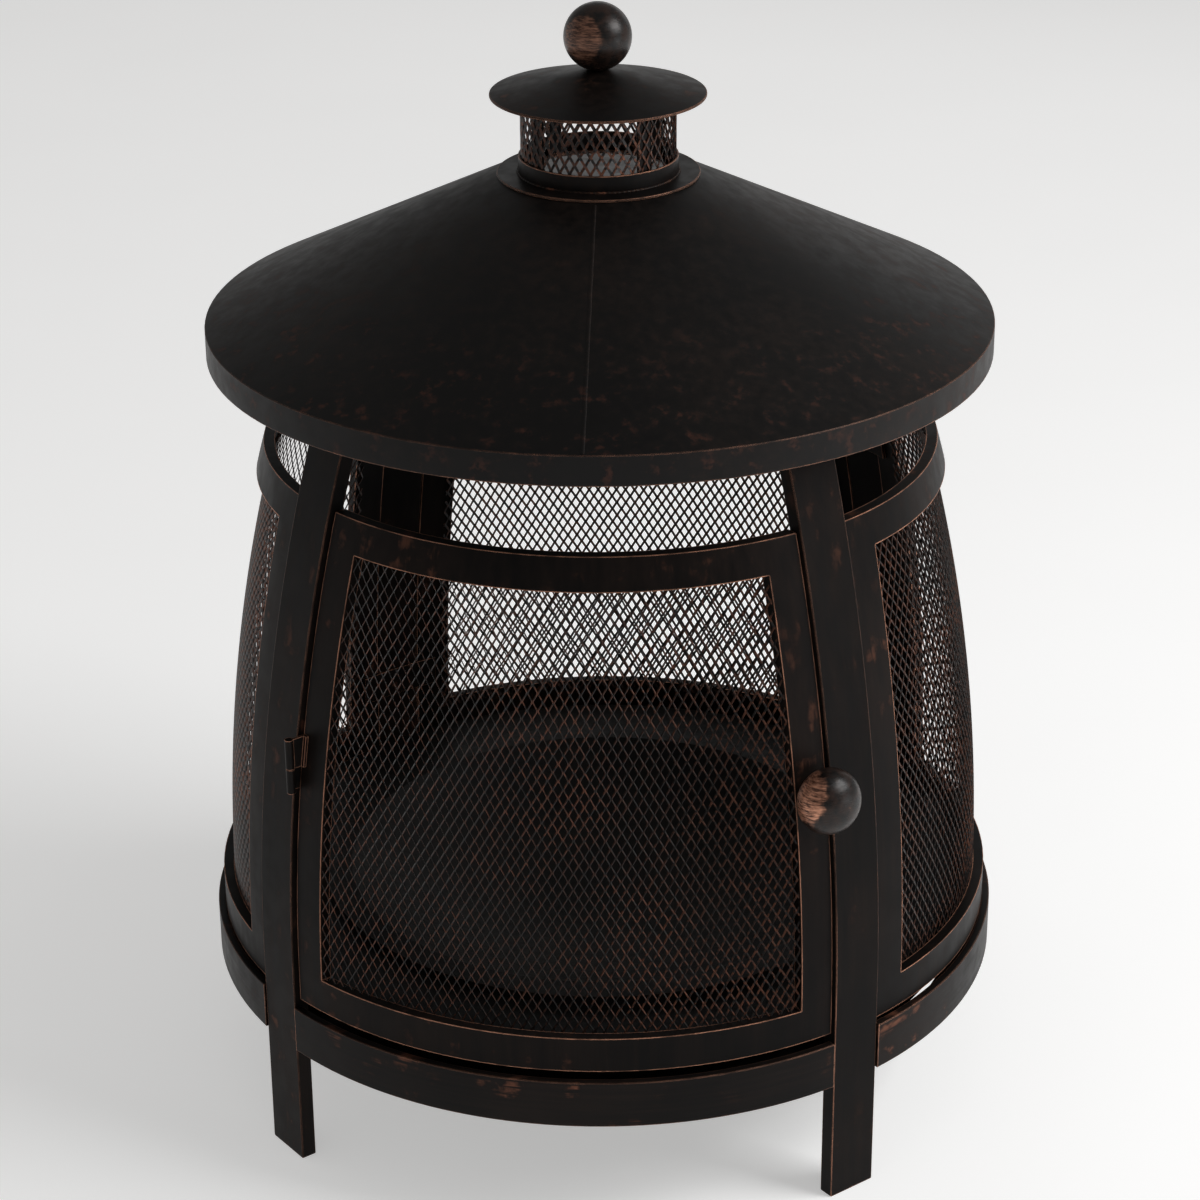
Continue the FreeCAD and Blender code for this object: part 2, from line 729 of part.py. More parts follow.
def under_cone(alias, radius):
    """Named cell: height of the underside of the cone at a radius."""
    return cell(alias, "=lip_z1 + (roof_r - %s) * slope - skin" % radius)


# ---- roof tabs, bolts and nuts ----
tab_bottom = bow_x("tab_out", "roof_tab_z0")
tab_bend = bow_x("tab_out", "roof_tab_z1")
cell("rt_inner_x", "=%s - roof_tab_t" % tab_bend)
cell("rt_foot_x", "=%s - roof_tab_t" % tab_bottom)
cell("rt_outer_x", "=%s + roof_tab_out" % tab_bend)
cell("rt_bend_z", "=lip_z1 + (roof_r - %s) * slope - skin - roof_tab_gap - roof_tab_t" % tab_bend)
cell("rt_outer_low", "=lip_z1 + (roof_r - rt_outer_x) * slope - skin - roof_tab_gap - roof_tab_t")
cell("rt_outer_high", "=rt_outer_low + roof_tab_t")
cell("rt_inner_high", "=lip_z1 + (roof_r - rt_inner_x) * slope - skin - roof_tab_gap")
bolts = []
nuts = []
cell("bolt_z_in", "=-bolt_len")
cell("bolt_nut_z0", "=-leg_t - roof_tab_t - bolt_nut - 0.4")
for leg, polar in LEGS.items():
    tab = bar_body(leg + "_roof_tab_plate", [
        (tab_bottom, "roof_tab_z0"), (tab_bend, "roof_tab_z1"), (tab_bend, "rt_bend_z"),
        ("rt_outer_x", "rt_outer_low"), ("rt_outer_x", "rt_outer_high"),
        ("rt_inner_x", "rt_inner_high"), ("rt_inner_x", "roof_tab_z1"),
        ("rt_foot_x", "roof_tab_z0")], "roof_tab_w")
    drilled = cut(leg + "_roof_tab_drilled", tab, bolt_hole(leg + "_tab_drill"))
    keep(leg + "_roof_tab", drilled, turn(polar))
    shank = cylinder(leg + "_bolt_shank", "bolt_r", "bolt_len", "bolt_z_in")
    head = prism(leg + "_bolt_head", "bolt_flats", "bolt_head")
    bolt = fuse(leg + "_bolt", [shank, head])
    bolt.Placement = turn(polar) * bolt_frame
    bolts.append(bolt)
    blank = prism(leg + "_nut_blank", "bolt_flats", "bolt_nut", "bolt_nut_z0")
    hole = cylinder(leg + "_nut_hole", "bolt_r", "bolt_nut", "bolt_nut_z0")
    nut = cut(leg + "_nut", blank, hole)
    nut.Placement = turn(polar) * bolt_frame
    nuts.append(nut)
keep("roof_bolts", group("roof_bolts", bolts))
keep("roof_nuts", group("roof_nuts", nuts))

# ---- chimney ----
cell("flange_z1", "=land_z + flange_t")
cell("collar_in", "=collar_r - collar_t")
cell("collar_z1", "=flange_z1 + collar_high")
cell("flue_mesh_in", "=flue_mesh_r - mesh_t")
cell("post_in", "=post_r - post_t")


def ring(name, inner, outer, low, high):
    return keep(name, spun_body(name, [(inner, low), (outer, low), (outer, high), (inner, high)]))


cell("flange_in", "=flue_r - 2.5")
ring("roof_flange", "flange_in", "flange_r", "land_z", "flange_z1")
ring("chimney_collar", "collar_in", "collar_r", "flange_z1", "collar_z1")
ring("chimney_mesh", "flue_mesh_in", "flue_mesh_r", "flange_z1", "flue_mesh_z1")
for leg, polar in LEGS.items():
    post = bar_body(leg + "_chimney_post", [
        ("post_in", "flange_z1"), ("post_r", "flange_z1"),
        ("post_r", "post_z1"), ("post_in", "post_z1")], "post_w")
    keep(leg + "_chimney_post", post, turn(polar))

# spider: two crossed bars between the posts
cell("spider_half", "=spider_w / 2")
cross = []
for index, angle in enumerate((45.0, 135.0)):
    arm = plan_body("spider_arm_%d" % index, [
        ("-post_in", "-spider_half"), ("post_in", "-spider_half"),
        ("post_in", "spider_half"), ("-post_in", "spider_half")], "spider_t")
    arm.setExpression("Placement.Base.z", link("spider_z0"))
    arm.Placement = FreeCAD.Placement(
        FreeCAD.Vector(0, 0, size("spider_z0")),
        FreeCAD.Rotation(FreeCAD.Vector(0, 0, 1), angle))
    cross.append(arm)
spider_hole = cylinder("spider_hole", "stud_hole_r", "spider_t", "spider_z0")
keep("cap_spider", cut("spider_drilled", fuse("spider_cross", cross), spider_hole))

# cap: shallow cone with a hole for the stud
cell("cap_z0", "=cap_z1 - cap_t")
cell("cap_top_under", "=cap_top_z - cap_t")
cap = spun_body("chimney_cap", [
    ("cap_r", "cap_z0"), ("cap_r", "cap_z1"), ("cap_top_r", "cap_top_z"), ("stud_hole_r", "cap_top_z"),
    ("stud_hole_r", "cap_top_under"), ("cap_top_r", "cap_top_under")])
keep("chimney_cap", cap)

# ---- finial: ball with a flat underside, stud and nut ----
cell("ball_flat", "=sqrt(ball_r^2 - (ball_z - cap_top_z)^2)")
cell("ball_top", "=ball_z + ball_r")
cell("ball_bore_z1", "=stud_z1 + 1")
ball_centre = ("0", "ball_z")
finial = spun_body("finial_ball", [
    ("stud_r", "cap_top_z"), ("ball_flat", "cap_top_z"), ("0", "ball_top"),
    ("0", "ball_bore_z1"), ("stud_r", "ball_bore_z1")],
    {1: (ball_centre, "ball_r", True)})
keep("finial_ball", finial)
cell("stud_len", "=stud_z1 - stud_z0")
keep("finial_stud", cylinder("finial_stud", "stud_r", "stud_len", "stud_z0"))
cell("finial_nut_z0", "=spider_z0 - nut_high")
finial_blank = prism("finial_nut_blank", "nut_flats", "nut_high", "finial_nut_z0")
finial_hole = cylinder("finial_nut_hole", "stud_r", "nut_high", "finial_nut_z0")
keep("finial_nut", cut("finial_nut_bored", finial_blank, finial_hole))

# ---- check and write ----
doc.recompute()
problems = []
for obj in doc.Objects:
    if "Invalid" in obj.State or "Error" in obj.State:
        problems.append(obj.Label + " state " + str(obj.State))
for name, part in nodes.items():
    if part.Shape.isNull() or not part.Shape.isValid():
        problems.append(name + " shape")
    if not part.Shape.Solids:
        problems.append(name + " has no solid")
if problems:
    raise RuntimeError("; ".join(problems))

os.makedirs("parts", exist_ok=True)
for name, part in nodes.items():
    part.Shape.exportStep("parts/%s.step" % name)
    box = part.Shape.BoundBox
    print("%-24s solids %d volume %9.0f  x %7.1f %7.1f  y %7.1f %7.1f  z %6.1f %6.1f" % (
        name, len(part.Shape.Solids), part.Shape.Volume,
        box.XMin, box.XMax, box.YMin, box.YMax, box.ZMin, box.ZMax))
print("hinge", [round(v, 3) for v in hinge_point])
print("knob", [round(v, 3) for v in knob_point], [round(v, 5) for v in knob_normal])
print("nodes", len(nodes))
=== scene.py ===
import math

import bpy
from mathutils import Matrix, Vector, noise


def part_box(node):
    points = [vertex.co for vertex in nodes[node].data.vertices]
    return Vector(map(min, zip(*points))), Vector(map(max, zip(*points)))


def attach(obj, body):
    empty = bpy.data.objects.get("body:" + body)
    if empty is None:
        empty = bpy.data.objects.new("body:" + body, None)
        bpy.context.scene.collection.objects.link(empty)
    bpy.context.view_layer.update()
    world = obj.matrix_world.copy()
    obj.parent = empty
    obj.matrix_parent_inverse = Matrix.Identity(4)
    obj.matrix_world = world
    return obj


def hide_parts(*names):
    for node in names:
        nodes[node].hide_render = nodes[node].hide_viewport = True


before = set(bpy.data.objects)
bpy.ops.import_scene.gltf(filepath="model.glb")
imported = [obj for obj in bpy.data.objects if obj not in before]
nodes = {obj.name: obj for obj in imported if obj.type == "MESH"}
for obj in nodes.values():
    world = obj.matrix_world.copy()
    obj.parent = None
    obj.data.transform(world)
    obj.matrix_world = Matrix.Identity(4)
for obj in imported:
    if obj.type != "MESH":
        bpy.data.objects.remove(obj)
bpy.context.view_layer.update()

# Sizes shared with the CAD, in metres. The walls stand straight up to BEND_Z and lean in above it,
# on an arc whose centre is BOW_CENTRE beyond the upright axis.
BOW_CENTRE = 1.0552
BEND_Z = 0.168
LEG_TURN = math.radians(45.0)  # from the middle of a side to the leg beside it
ROOF_R = 0.300
ROOF_LIP_Z = 0.630
LAND_R = 0.076
LAND_Z = 0.7385
ROOF_SLOPE = (LAND_Z - ROOF_LIP_Z) / (ROOF_R - LAND_R)

# Where the legs and sides stand round the upright axis, in degrees from +X.
LEGS = {"front_left": -135.0, "front_right": -45.0, "back_right": 45.0, "back_left": 135.0}
SIDES = {"front": -90.0, "right": 0.0, "back": 90.0, "left": 180.0}
PANEL_SIDES = ("left", "right", "back")

# Expanded metal: diamond width and height, strand width, thickness and tilt. Strands meet at
# bonds of length BOND, where each is drawn in by BOND_INSET.
DIAMOND_W = 0.0080
DIAMOND_H = 0.0130
STRAND_W = 0.00195
DOOR_STRAND_W = 0.00140
STRAND_T = 0.0006
STRAND_TILT = math.radians(20.0)
DOOR_TILT = math.radians(-55.0)
BOND = 0.0012
BOND_INSET = 0.00048

# Fixed panels: radius of the sheet's face, its depth behind that, side edge and heights.
PANEL_FACE = 0.3020
PANEL_DEPTH = 0.00068
PANEL_EDGE = 0.0445
PANEL_ENDS = (0.1625, 0.5175)

# Door: its sheet sags behind the face from the stiles to the middle. It passes behind the rails only
# where it is at least BEHIND_RAIL deep, and otherwise it ends at the window.
DOOR_FACE = 0.3114
DOOR_WINDOW = 0.0498
DOOR_SIDE_DEPTH = 0.0022
DOOR_SAG = 0.0104
BEHIND_RAIL = 0.0094
DOOR_ENDS = (0.1668, 0.5202)
DOOR_WINDOW_ENDS = (0.1744, 0.5126)
DOOR_SHIFT = 0.0009
DOOR_TURN = math.degrees(DOOR_SHIFT / DOOR_FACE)

# Chimney mesh: radius of the tube and number of strands round it.
CHIMNEY_R = 0.0578
CHIMNEY_STRANDS = 92


# ---------------------------------------------------------------- materials

class Shader:
    """A node material with one Principled shader, built up by small steps."""

    def __init__(self, name):
        self.mat = bpy.data.materials.new(name)
        self.mat.use_nodes = True
        self.tree = self.mat.node_tree
        self.tree.nodes.clear()
        self.out = self.tree.nodes.new("ShaderNodeOutputMaterial")
        self.bsdf = self.tree.nodes.new("ShaderNodeBsdfPrincipled")
        self.tree.links.new(self.bsdf.outputs["BSDF"], self.out.inputs["Surface"])
        self.coord = self.tree.nodes.new("ShaderNodeTexCoord").outputs["Object"]
        self.geometry = self.tree.nodes.new("ShaderNodeNewGeometry")

    def put(self, socket, value):
        if isinstance(value, bpy.types.NodeSocket):
            self.tree.links.new(value, socket)
        else:
            socket.default_value = value

    def math(self, operation, first, second=0.0, clamp=False):
        node = self.tree.nodes.new("ShaderNodeMath")
        node.operation = operation
        node.use_clamp = clamp
        self.put(node.inputs[0], first)
        self.put(node.inputs[1], second)
        return node.outputs[0]

    def noise(self, scale, detail=3.0, stretch=(1.0, 1.0, 1.0), roughness=0.55, shift=0.0):
        place = self.tree.nodes.new("ShaderNodeMapping")
        place.inputs["Scale"].default_value = stretch
        place.inputs["Location"].default_value = (shift, shift * 0.7, shift * 1.3)
        self.put(place.inputs["Vector"], self.coord)
        node = self.tree.nodes.new("ShaderNodeTexNoise")
        node.inputs["Scale"].default_value = scale
        node.inputs["Detail"].default_value = detail
        node.inputs["Roughness"].default_value = roughness
        self.put(node.inputs["Vector"], place.outputs[0])
        return node.outputs["Fac"]

    def span(self, value, low, high, to_low=0.0, to_high=1.0):
        """Maps low..high to to_low..to_high with soft ends."""
        node = self.tree.nodes.new("ShaderNodeMapRange")
        node.interpolation_type = "SMOOTHSTEP"
        for index, number in enumerate((low, high, to_low, to_high)):
            node.inputs[index + 1].default_value = number
        self.put(node.inputs[0], value)
        return node.outputs[0]

    def blend(self, amount, first, second):
        node = self.tree.nodes.new("ShaderNodeMix")
        node.data_type = "RGBA"
        self.put(node.inputs[0], amount)
        for socket, colour in ((node.inputs[6], first), (node.inputs[7], second)):
            self.put(socket, colour if isinstance(colour, bpy.types.NodeSocket) else (*colour, 1.0))
        return node.outputs[2]

    def edges(self, radius, sharp=0.90):
        """1 on worn edges, 0 on open faces."""
        rounded = self.tree.nodes.new("ShaderNodeBevel")
        rounded.samples = 6
        rounded.inputs["Radius"].default_value = radius
        dot = self.tree.nodes.new("ShaderNodeVectorMath")
        dot.operation = "DOT_PRODUCT"
        self.put(dot.inputs[0], rounded.outputs[0])
        self.put(dot.inputs[1], self.geometry.outputs["Normal"])
        return self.span(dot.outputs["Value"], 0.997, sharp)

    def distance(self, point):
        """Distance from a fixed point on the object."""
        node = self.tree.nodes.new("ShaderNodeVectorMath")
        node.operation = "DISTANCE"
        self.put(node.inputs[0], self.coord)
        self.put(node.inputs[1], point)
        return node.outputs["Value"]

    def axis_distance(self):
        """Distance from the upright axis of the object."""
        split = self.tree.nodes.new("ShaderNodeSeparateXYZ")
        self.put(split.inputs[0], self.coord)
        flat = self.tree.nodes.new("ShaderNodeCombineXYZ")
        self.put(flat.inputs[0], split.outputs[0])
        self.put(flat.inputs[1], split.outputs[1])
        size = self.tree.nodes.new("ShaderNodeVectorMath")
        size.operation = "LENGTH"
        self.put(size.inputs[0], flat.outputs[0])
        return size.outputs["Value"]

    def bump(self, height, strength, distance):
        node = self.tree.nodes.new("ShaderNodeBump")
        node.inputs["Strength"].default_value = strength
        node.inputs["Distance"].default_value = distance
        self.put(node.inputs["Height"], height)
        self.put(self.bsdf.inputs["Normal"], node.outputs[0])


DARK = (0.0036, 0.0030, 0.0028)
BROWN = (0.0110, 0.0070, 0.0055)
RED_RUB = (0.060, 0.021, 0.013)
COPPER = (0.30, 0.115, 0.066)
COPPER_PALE = (0.68, 0.335, 0.215)


def bronze(name, streak=(1.0, 1.0, 1.0), wear=1.0, blotch=1.0, radius=0.0014, rough=0.42,
           shift=0.0, rim=None, shine=0.10):
    """Dark bronze paint, rubbed through to copper on the edges and in small patches."""
    s = Shader(name)
    cloud = s.noise(6.0, 3.0, shift=shift)
    mottle = s.noise(52.0, 5.0, shift=shift + 2.0)
    streaks = s.noise(110.0, 3.0, streak, 0.6, shift + 4.0)
    grain = s.noise(1100.0, 2.0, shift=shift + 6.0)
    tone = s.math("ADD", s.math("MULTIPLY", cloud, 0.6), s.math("MULTIPLY", streaks, 0.4))
    colour = s.blend(s.span(tone, 0.38, 0.68), DARK, BROWN)

    # soft rubbed patches, drawn out along the brush marks
    patch = s.math("MULTIPLY", s.span(mottle, 0.56, 0.70), s.span(cloud, 0.45, 0.62))
    patch = s.math("MULTIPLY", patch, s.span(streaks, 0.42, 0.60))
    patch = s.math("MULTIPLY", patch, 0.38 * blotch, clamp=True)
    colour = s.blend(patch, colour, COPPER)
    if rim:
        # fine reddish scuffs towards the rim, where the cover is handled
        ring = s.math("MULTIPLY", s.span(s.axis_distance(), *rim), s.span(streaks, 0.50, 0.66))
        ring = s.math("MULTIPLY", ring, s.span(mottle, 0.45, 0.65, 0.0, 0.6), clamp=True)
        colour = s.blend(ring, colour, RED_RUB)

    # edges worn through, broken up by the mottle
    edge = s.edges(radius)
    broken = s.span(s.math("ADD", mottle, s.math("MULTIPLY", streaks, 0.5)), 0.56, 0.84, 0.30, 1.0)
    rub = s.math("MULTIPLY", s.math("MULTIPLY", edge, broken), wear, clamp=True)
    colour = s.blend(rub, colour, COPPER_PALE)
    s.put(s.bsdf.inputs["Base Color"], colour)

    metal = s.math("MULTIPLY", s.math("ADD", rub, patch, clamp=True), 0.6)
    s.put(s.bsdf.inputs["Metallic"], metal)
    level = s.math("ADD", s.span(mottle, 0.3, 0.7, rough - 0.04, rough + 0.05),
                   s.span(streaks, 0.3, 0.7, -0.03, 0.03))
    s.put(s.bsdf.inputs["Roughness"], level)
    s.bsdf.inputs["Specular IOR Level"].default_value = shine
    relief = s.math("ADD", s.math("MULTIPLY", grain, 0.5), s.math("MULTIPLY", streaks, 0.8))
    s.bump(relief, 0.18, 0.0002)
    return s.mat


def copper_ball(name, worn, reach, shift, amount):
    """Dark paint rubbed through to brushed copper round one spot."""
    s = Shader(name)
    large = s.noise(38.0, 3.0, shift=shift)
    mottle = s.noise(130.0, 5.0, shift=shift + 3.0)
    brush = s.noise(230.0, 4.0, (0.35, 1.0, 3.2), 0.7, shift + 5.0)
    near = s.span(s.distance(worn), reach * 1.3, reach * 0.45)
    field = s.math("ADD", s.math("MULTIPLY", large, 0.55), s.math("MULTIPLY", mottle, 0.25))
    field = s.math("ADD", field, s.math("MULTIPLY", near, 0.30))
    patch = s.span(field, 0.50, 0.62)
    scratch = s.span(brush, 0.36, 0.64, 0.15, 1.0)
    bare = s.math("MULTIPLY", s.math("MULTIPLY", patch, scratch), amount)
    colour = s.blend(s.span(mottle, 0.35, 0.65), (0.0050, 0.0040, 0.0037), (0.020, 0.0105, 0.0075))
    colour = s.blend(bare, colour, s.blend(scratch, COPPER, COPPER_PALE))
    s.put(s.bsdf.inputs["Base Color"], colour)
    s.put(s.bsdf.inputs["Metallic"], s.math("MULTIPLY", bare, 0.8))
    s.put(s.bsdf.inputs["Roughness"], s.span(brush, 0.3, 0.7, 0.24, 0.40))
    s.bsdf.inputs["Specular IOR Level"].default_value = 0.28
    s.bump(s.math("ADD", brush, mottle), 0.22, 0.0003)
    return s.mat


def bowl_black(name):
    """Matt heat-proof black with faint dust and bare corners."""
    s = Shader(name)
    cloud = s.noise(9.0, 4.0, shift=11.0)
    fine = s.noise(240.0, 4.0, shift=12.0)
    colour = s.blend(s.span(cloud, 0.35, 0.68), (0.0034, 0.0032, 0.0032), (0.0085, 0.0074, 0.0068))
    edge = s.math("MULTIPLY", s.edges(0.0014), s.span(fine, 0.35, 0.6, 0.2, 1.0))
    colour = s.blend(s.math("MULTIPLY", edge, 0.35), colour, (0.16, 0.10, 0.075))
    s.put(s.bsdf.inputs["Base Color"], colour)
    s.put(s.bsdf.inputs["Roughness"], s.span(fine, 0.3, 0.7, 0.44, 0.58))
    s.bsdf.inputs["Specular IOR Level"].default_value = 0.22
    s.bump(fine, 0.2, 0.00025)
    return s.mat


def blackened_steel(name):
    """Fasteners: oiled black steel with bare corners."""
    s = Shader(name)
    fine = s.noise(700.0, 4.0, shift=21.0)
    turned = s.noise(300.0, 2.0, (1.0, 1.0, 5.0), 0.5, 22.0)
    edge = s.math("MULTIPLY", s.edges(0.0006), s.span(fine, 0.35, 0.6, 0.2, 0.8))
    colour = s.blend(s.span(turned, 0.3, 0.7), (0.008, 0.0075, 0.0072), (0.020, 0.018, 0.017))
    s.put(s.bsdf.inputs["Base Color"], s.blend(edge, colour, (0.24, 0.19, 0.165)))
    s.put(s.bsdf.inputs["Metallic"], s.math("MULTIPLY", edge, 0.8))
    s.put(s.bsdf.inputs["Roughness"], s.span(turned, 0.3, 0.7, 0.32, 0.48))
    s.bump(fine, 0.2, 0.0001)
    return s.mat


def strand_paint(name):
    """Bronze paint on expanded metal, worn to copper along the strands."""
    s = Shader(name)
    cloud = s.noise(11.0, 3.0, shift=31.0)
    fine = s.noise(300.0, 3.0, shift=32.0)
    worn = s.math("MULTIPLY", s.span(fine, 0.44, 0.60), s.span(cloud, 0.34, 0.62, 0.25, 1.0))
    colour = s.blend(s.math("MULTIPLY", worn, 0.42), (0.0065, 0.0048, 0.0042), COPPER)
    s.put(s.bsdf.inputs["Base Color"], colour)
    s.put(s.bsdf.inputs["Metallic"], s.math("MULTIPLY", worn, 0.5))
    s.put(s.bsdf.inputs["Roughness"], s.span(fine, 0.3, 0.7, 0.30, 0.42))
    s.bsdf.inputs["Specular IOR Level"].default_value = 0.35
    s.bump(fine, 0.2, 0.0001)
    return s.mat


# How the brush marks are drawn out: along upright bars, or round level ones.
UPRIGHT = (1.0, 1.0, 0.07)
LEVEL = (0.09, 0.09, 2.6)

# Middles of the spots that are rubbed bare on the knob and on the ball.
knob_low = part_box("door_knob")[0]
ball_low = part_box("finial_ball")[0]
KNOB_SPOT = (knob_low.x + 0.004, knob_low.y + 0.010, knob_low.z + 0.034)
BALL_SPOT = (ball_low.x + 0.014, ball_low.y + 0.004, ball_low.z + 0.030)
leg_paint = bronze("leg_paint", UPRIGHT, blotch=0.55, shift=1.0, shine=0.07)
band_paint = bronze("band_paint", LEVEL, blotch=1.2, shift=2.0)
frame_paint = bronze("frame_paint", UPRIGHT, blotch=0.55, shift=3.0, shine=0.07)
roof_paint = bronze("roof_paint", blotch=0.12, rough=0.45, shift=5.0, rim=(0.17, 0.29), shine=0.17)
part_paint = bronze("part_paint", blotch=0.5, shift=7.0)
small_paint = bronze("small_paint", radius=0.0009, shift=8.0)
ball_copper = copper_ball("ball_copper", BALL_SPOT, 0.020, 0.0, 0.35)
knob_copper = copper_ball("knob_copper", KNOB_SPOT, 0.022, 9.0, 1.0)
hinge_copper = bronze("hinge_copper", wear=1.4, blotch=1.4, radius=0.0010, shift=9.0)
bowl_paint = bowl_black("bowl_paint")
steel = blackened_steel("dark_hardware")
mesh_paint = strand_paint("mesh_paint")


# ---------------------------------------------------------------- CAD nodes

def dress(name, material, bevel):
    """Gives a CAD node its finish and softly rounded edges."""
    obj = nodes[name]
    obj.data.materials.clear()
    obj.data.materials.append(material)
    weld = obj.modifiers.new("join", "WELD")
    weld.merge_threshold = 0.000002
    if bevel:
        soft = obj.modifiers.new("edges", "BEVEL")
        soft.width = bevel
        soft.segments = 2
        soft.limit_method = "ANGLE"
        soft.angle_limit = math.radians(32.0)
        soft.use_clamp_overlap = True
    normals = obj.modifiers.new("normals", "WEIGHTED_NORMAL")
    normals.keep_sharp = False
    normals.weight = 60


for leg in LEGS:
    dress(leg + "_leg", leg_paint, 0.0010)
    dress(leg + "_tabs", small_paint, 0.0004)
    dress(leg + "_bracket", small_paint, 0.0005)
    dress(leg + "_roof_tab", small_paint, 0.0005)
    dress(leg + "_chimney_post", small_paint, 0.0005)
for side in SIDES:
    dress(side + "_band", band_paint, 0.0009)
for side in PANEL_SIDES:
    dress(side + "_panel_frame", frame_paint, 0.0009)
dress("door_frame", frame_paint, 0.0009)
dress("door_knob", knob_copper, 0.0)
dress("hinge_door_knuckle", hinge_copper, 0.0005)
dress("hinge_leg_knuckle", hinge_copper, 0.0005)
for name in ("door_stop_low", "door_stop_up"):
    dress(name, small_paint, 0.0005)
for name in ("fire_bowl", "base_plate", "base_skirt"):
    dress(name, bowl_paint, 0.0004)
dress("roof", roof_paint, 0.0006)
dress("roof_flange", part_paint, 0.0006)
dress("chimney_collar", part_paint, 0.0004)
dress("cap_spider", small_paint, 0.0005)
dress("chimney_cap", part_paint, 0.0005)
dress("finial_ball", ball_copper, 0.0)
for name in ("knob_stem", "latch_tab", "latch_nut", "hinge_pin", "roof_bolts", "roof_nuts",
             "finial_stud", "finial_nut"):
    dress(name, steel, 0.0003)


# ---------------------------------------------------------------- expanded metal

class Bow:
    """The bowed surface of revolution of a panel, or a plain cylinder when bend is None."""

    def __init__(self, base, mid, bend=BEND_Z):
        self.base = base
        self.mid = math.radians(mid)
        self.bend = bend
        self.arc = base + BOW_CENTRE

    def slope(self, t):
        if self.bend is None or t <= self.bend:
            return 0.0
        return (t - self.bend) / self.arc

    def height(self, t):
        if self.bend is None or t <= self.bend:
            return t
        return self.bend + self.arc * math.sin(self.slope(t))

    def along(self, z):
        """Length along the bow for a height."""
        if self.bend is None or z <= self.bend:
            return z
        return self.bend + self.arc * math.asin((z - self.bend) / self.arc)

    def radius(self, t):
        if self.bend is None or t <= self.bend:
            return self.base
        return self.arc * math.cos(self.slope(t)) - BOW_CENTRE

    def frame(self, s, t):
        """Point at s round and t along the bow, with its sideways, upward and outward directions."""
        turn = self.mid + s / self.radius(t)
        lean = self.slope(t)
        out = Vector((math.cos(turn), math.sin(turn), 0.0))
        side = Vector((-math.sin(turn), math.cos(turn), 0.0))
        up = Vector((0.0, 0.0, 1.0))
        point = out * self.radius(t) + up * self.height(t)
        rise = up * math.cos(lean) - out * math.sin(lean)
        face = out * math.cos(lean) + up * math.sin(lean)
        return point, side, rise, face


class DoorSheet(Bow):
    """The door's sheet, flatter than its frame: near the face at the stiles, deeper at the middle."""

    def depth(self, s, t):
        """How far the sheet lies behind the door's face."""
        r = self.radius(t)
        reach = r * (LEG_TURN - math.asin(DOOR_WINDOW / r))
        return DOOR_SIDE_DEPTH + DOOR_SAG * (1.0 - (min(abs(s) / reach, 1.0)) ** 2)

    def frame(self, s, t):
        point, side, up, out = super().frame(s, t)
        return point - out * self.depth(s, t), side, up, out


def ribbon_line(x, t0, t1, phase):
    """Waypoints of one zigzag strand between two heights."""
    swing = DIAMOND_W / 4 - BOND_INSET
    half = DIAMOND_H / 2
    points = []
    for k in range(int((t1 - t0) / half) + 2):
        side = 1.0 if (k + phase) % 2 else -1.0
        middle = t0 + k * half
        for t in (middle - BOND / 2, middle + BOND / 2):
            points.append((x + side * swing, t))
    return points


def clip_line(points, inside):
    """Splits a line into the runs that lie inside, cut at the border."""
    runs = []
    run = []
    for a, b in zip(points, points[1:]):
        keep_a, keep_b = inside(*a), inside(*b)
        if keep_a and not run:
            run = [a]
        if keep_a and keep_b:
            run.append(b)
        elif keep_a != keep_b:
            good, bad = (a, b) if keep_a else (b, a)
            for _ in range(12):
                middle = ((good[0] + bad[0]) / 2, (good[1] + bad[1]) / 2)
                if inside(*middle):
                    good = middle
                else:
                    bad = middle
            if keep_a:
                run.append(good)
                runs.append(run)
                run = []
            else:
                run = [good, b]
    if len(run) > 1:
        runs.append(run)
    return [r for r in runs if math.dist(r[0], r[-1]) > 0.001]


def sweep_ribbon(verts, faces, surface, line, tilt=STRAND_TILT, width=STRAND_W):
    """A flat strand with a tilted section along a line on the surface."""
    first = len(verts)
    for i, (s, t) in enumerate(line):
        before = line[max(i - 1, 0)]
        after = line[min(i + 1, len(line) - 1)]
        length = math.dist(before, after)
        ds, dt = (after[0] - before[0]) / length, (after[1] - before[1]) / length
        point, side, up, out = surface.frame(s, t)
        across = up * ds - side * dt
        broad = across * math.cos(tilt) + out * math.sin(tilt)
        thin = out * math.cos(tilt) - across * math.sin(tilt)
        for a, b in ((-1, -1), (1, -1), (1, 1), (-1, 1)):
            verts.append(point + broad * (a * width / 2) + thin * (b * STRAND_T / 2))
    for i in range(len(line) - 1):
        low = first + 4 * i
        for k in range(4):
            other = (k + 1) % 4
            faces.append((low + k, low + other, low + 4 + other, low + 4 + k))
    last = first + 4 * (len(line) - 1)
    faces.append((first + 3, first + 2, first + 1, first))
    faces.append((last, last + 1, last + 2, last + 3))


def finish_mesh(name, verts, faces, material, body, smooth=False):
    """Makes a piece of the visual model that moves with a body."""
    data = bpy.data.meshes.new(name)
    data.from_pydata([tuple(v) for v in verts], [], faces)
    data.update()
    if smooth:
        data.shade_smooth()
    else:
        data.shade_flat()
    obj = bpy.data.objects.new(name, data)
    bpy.context.scene.collection.objects.link(obj)
    data.materials.append(material)
    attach(obj, body)
    return obj


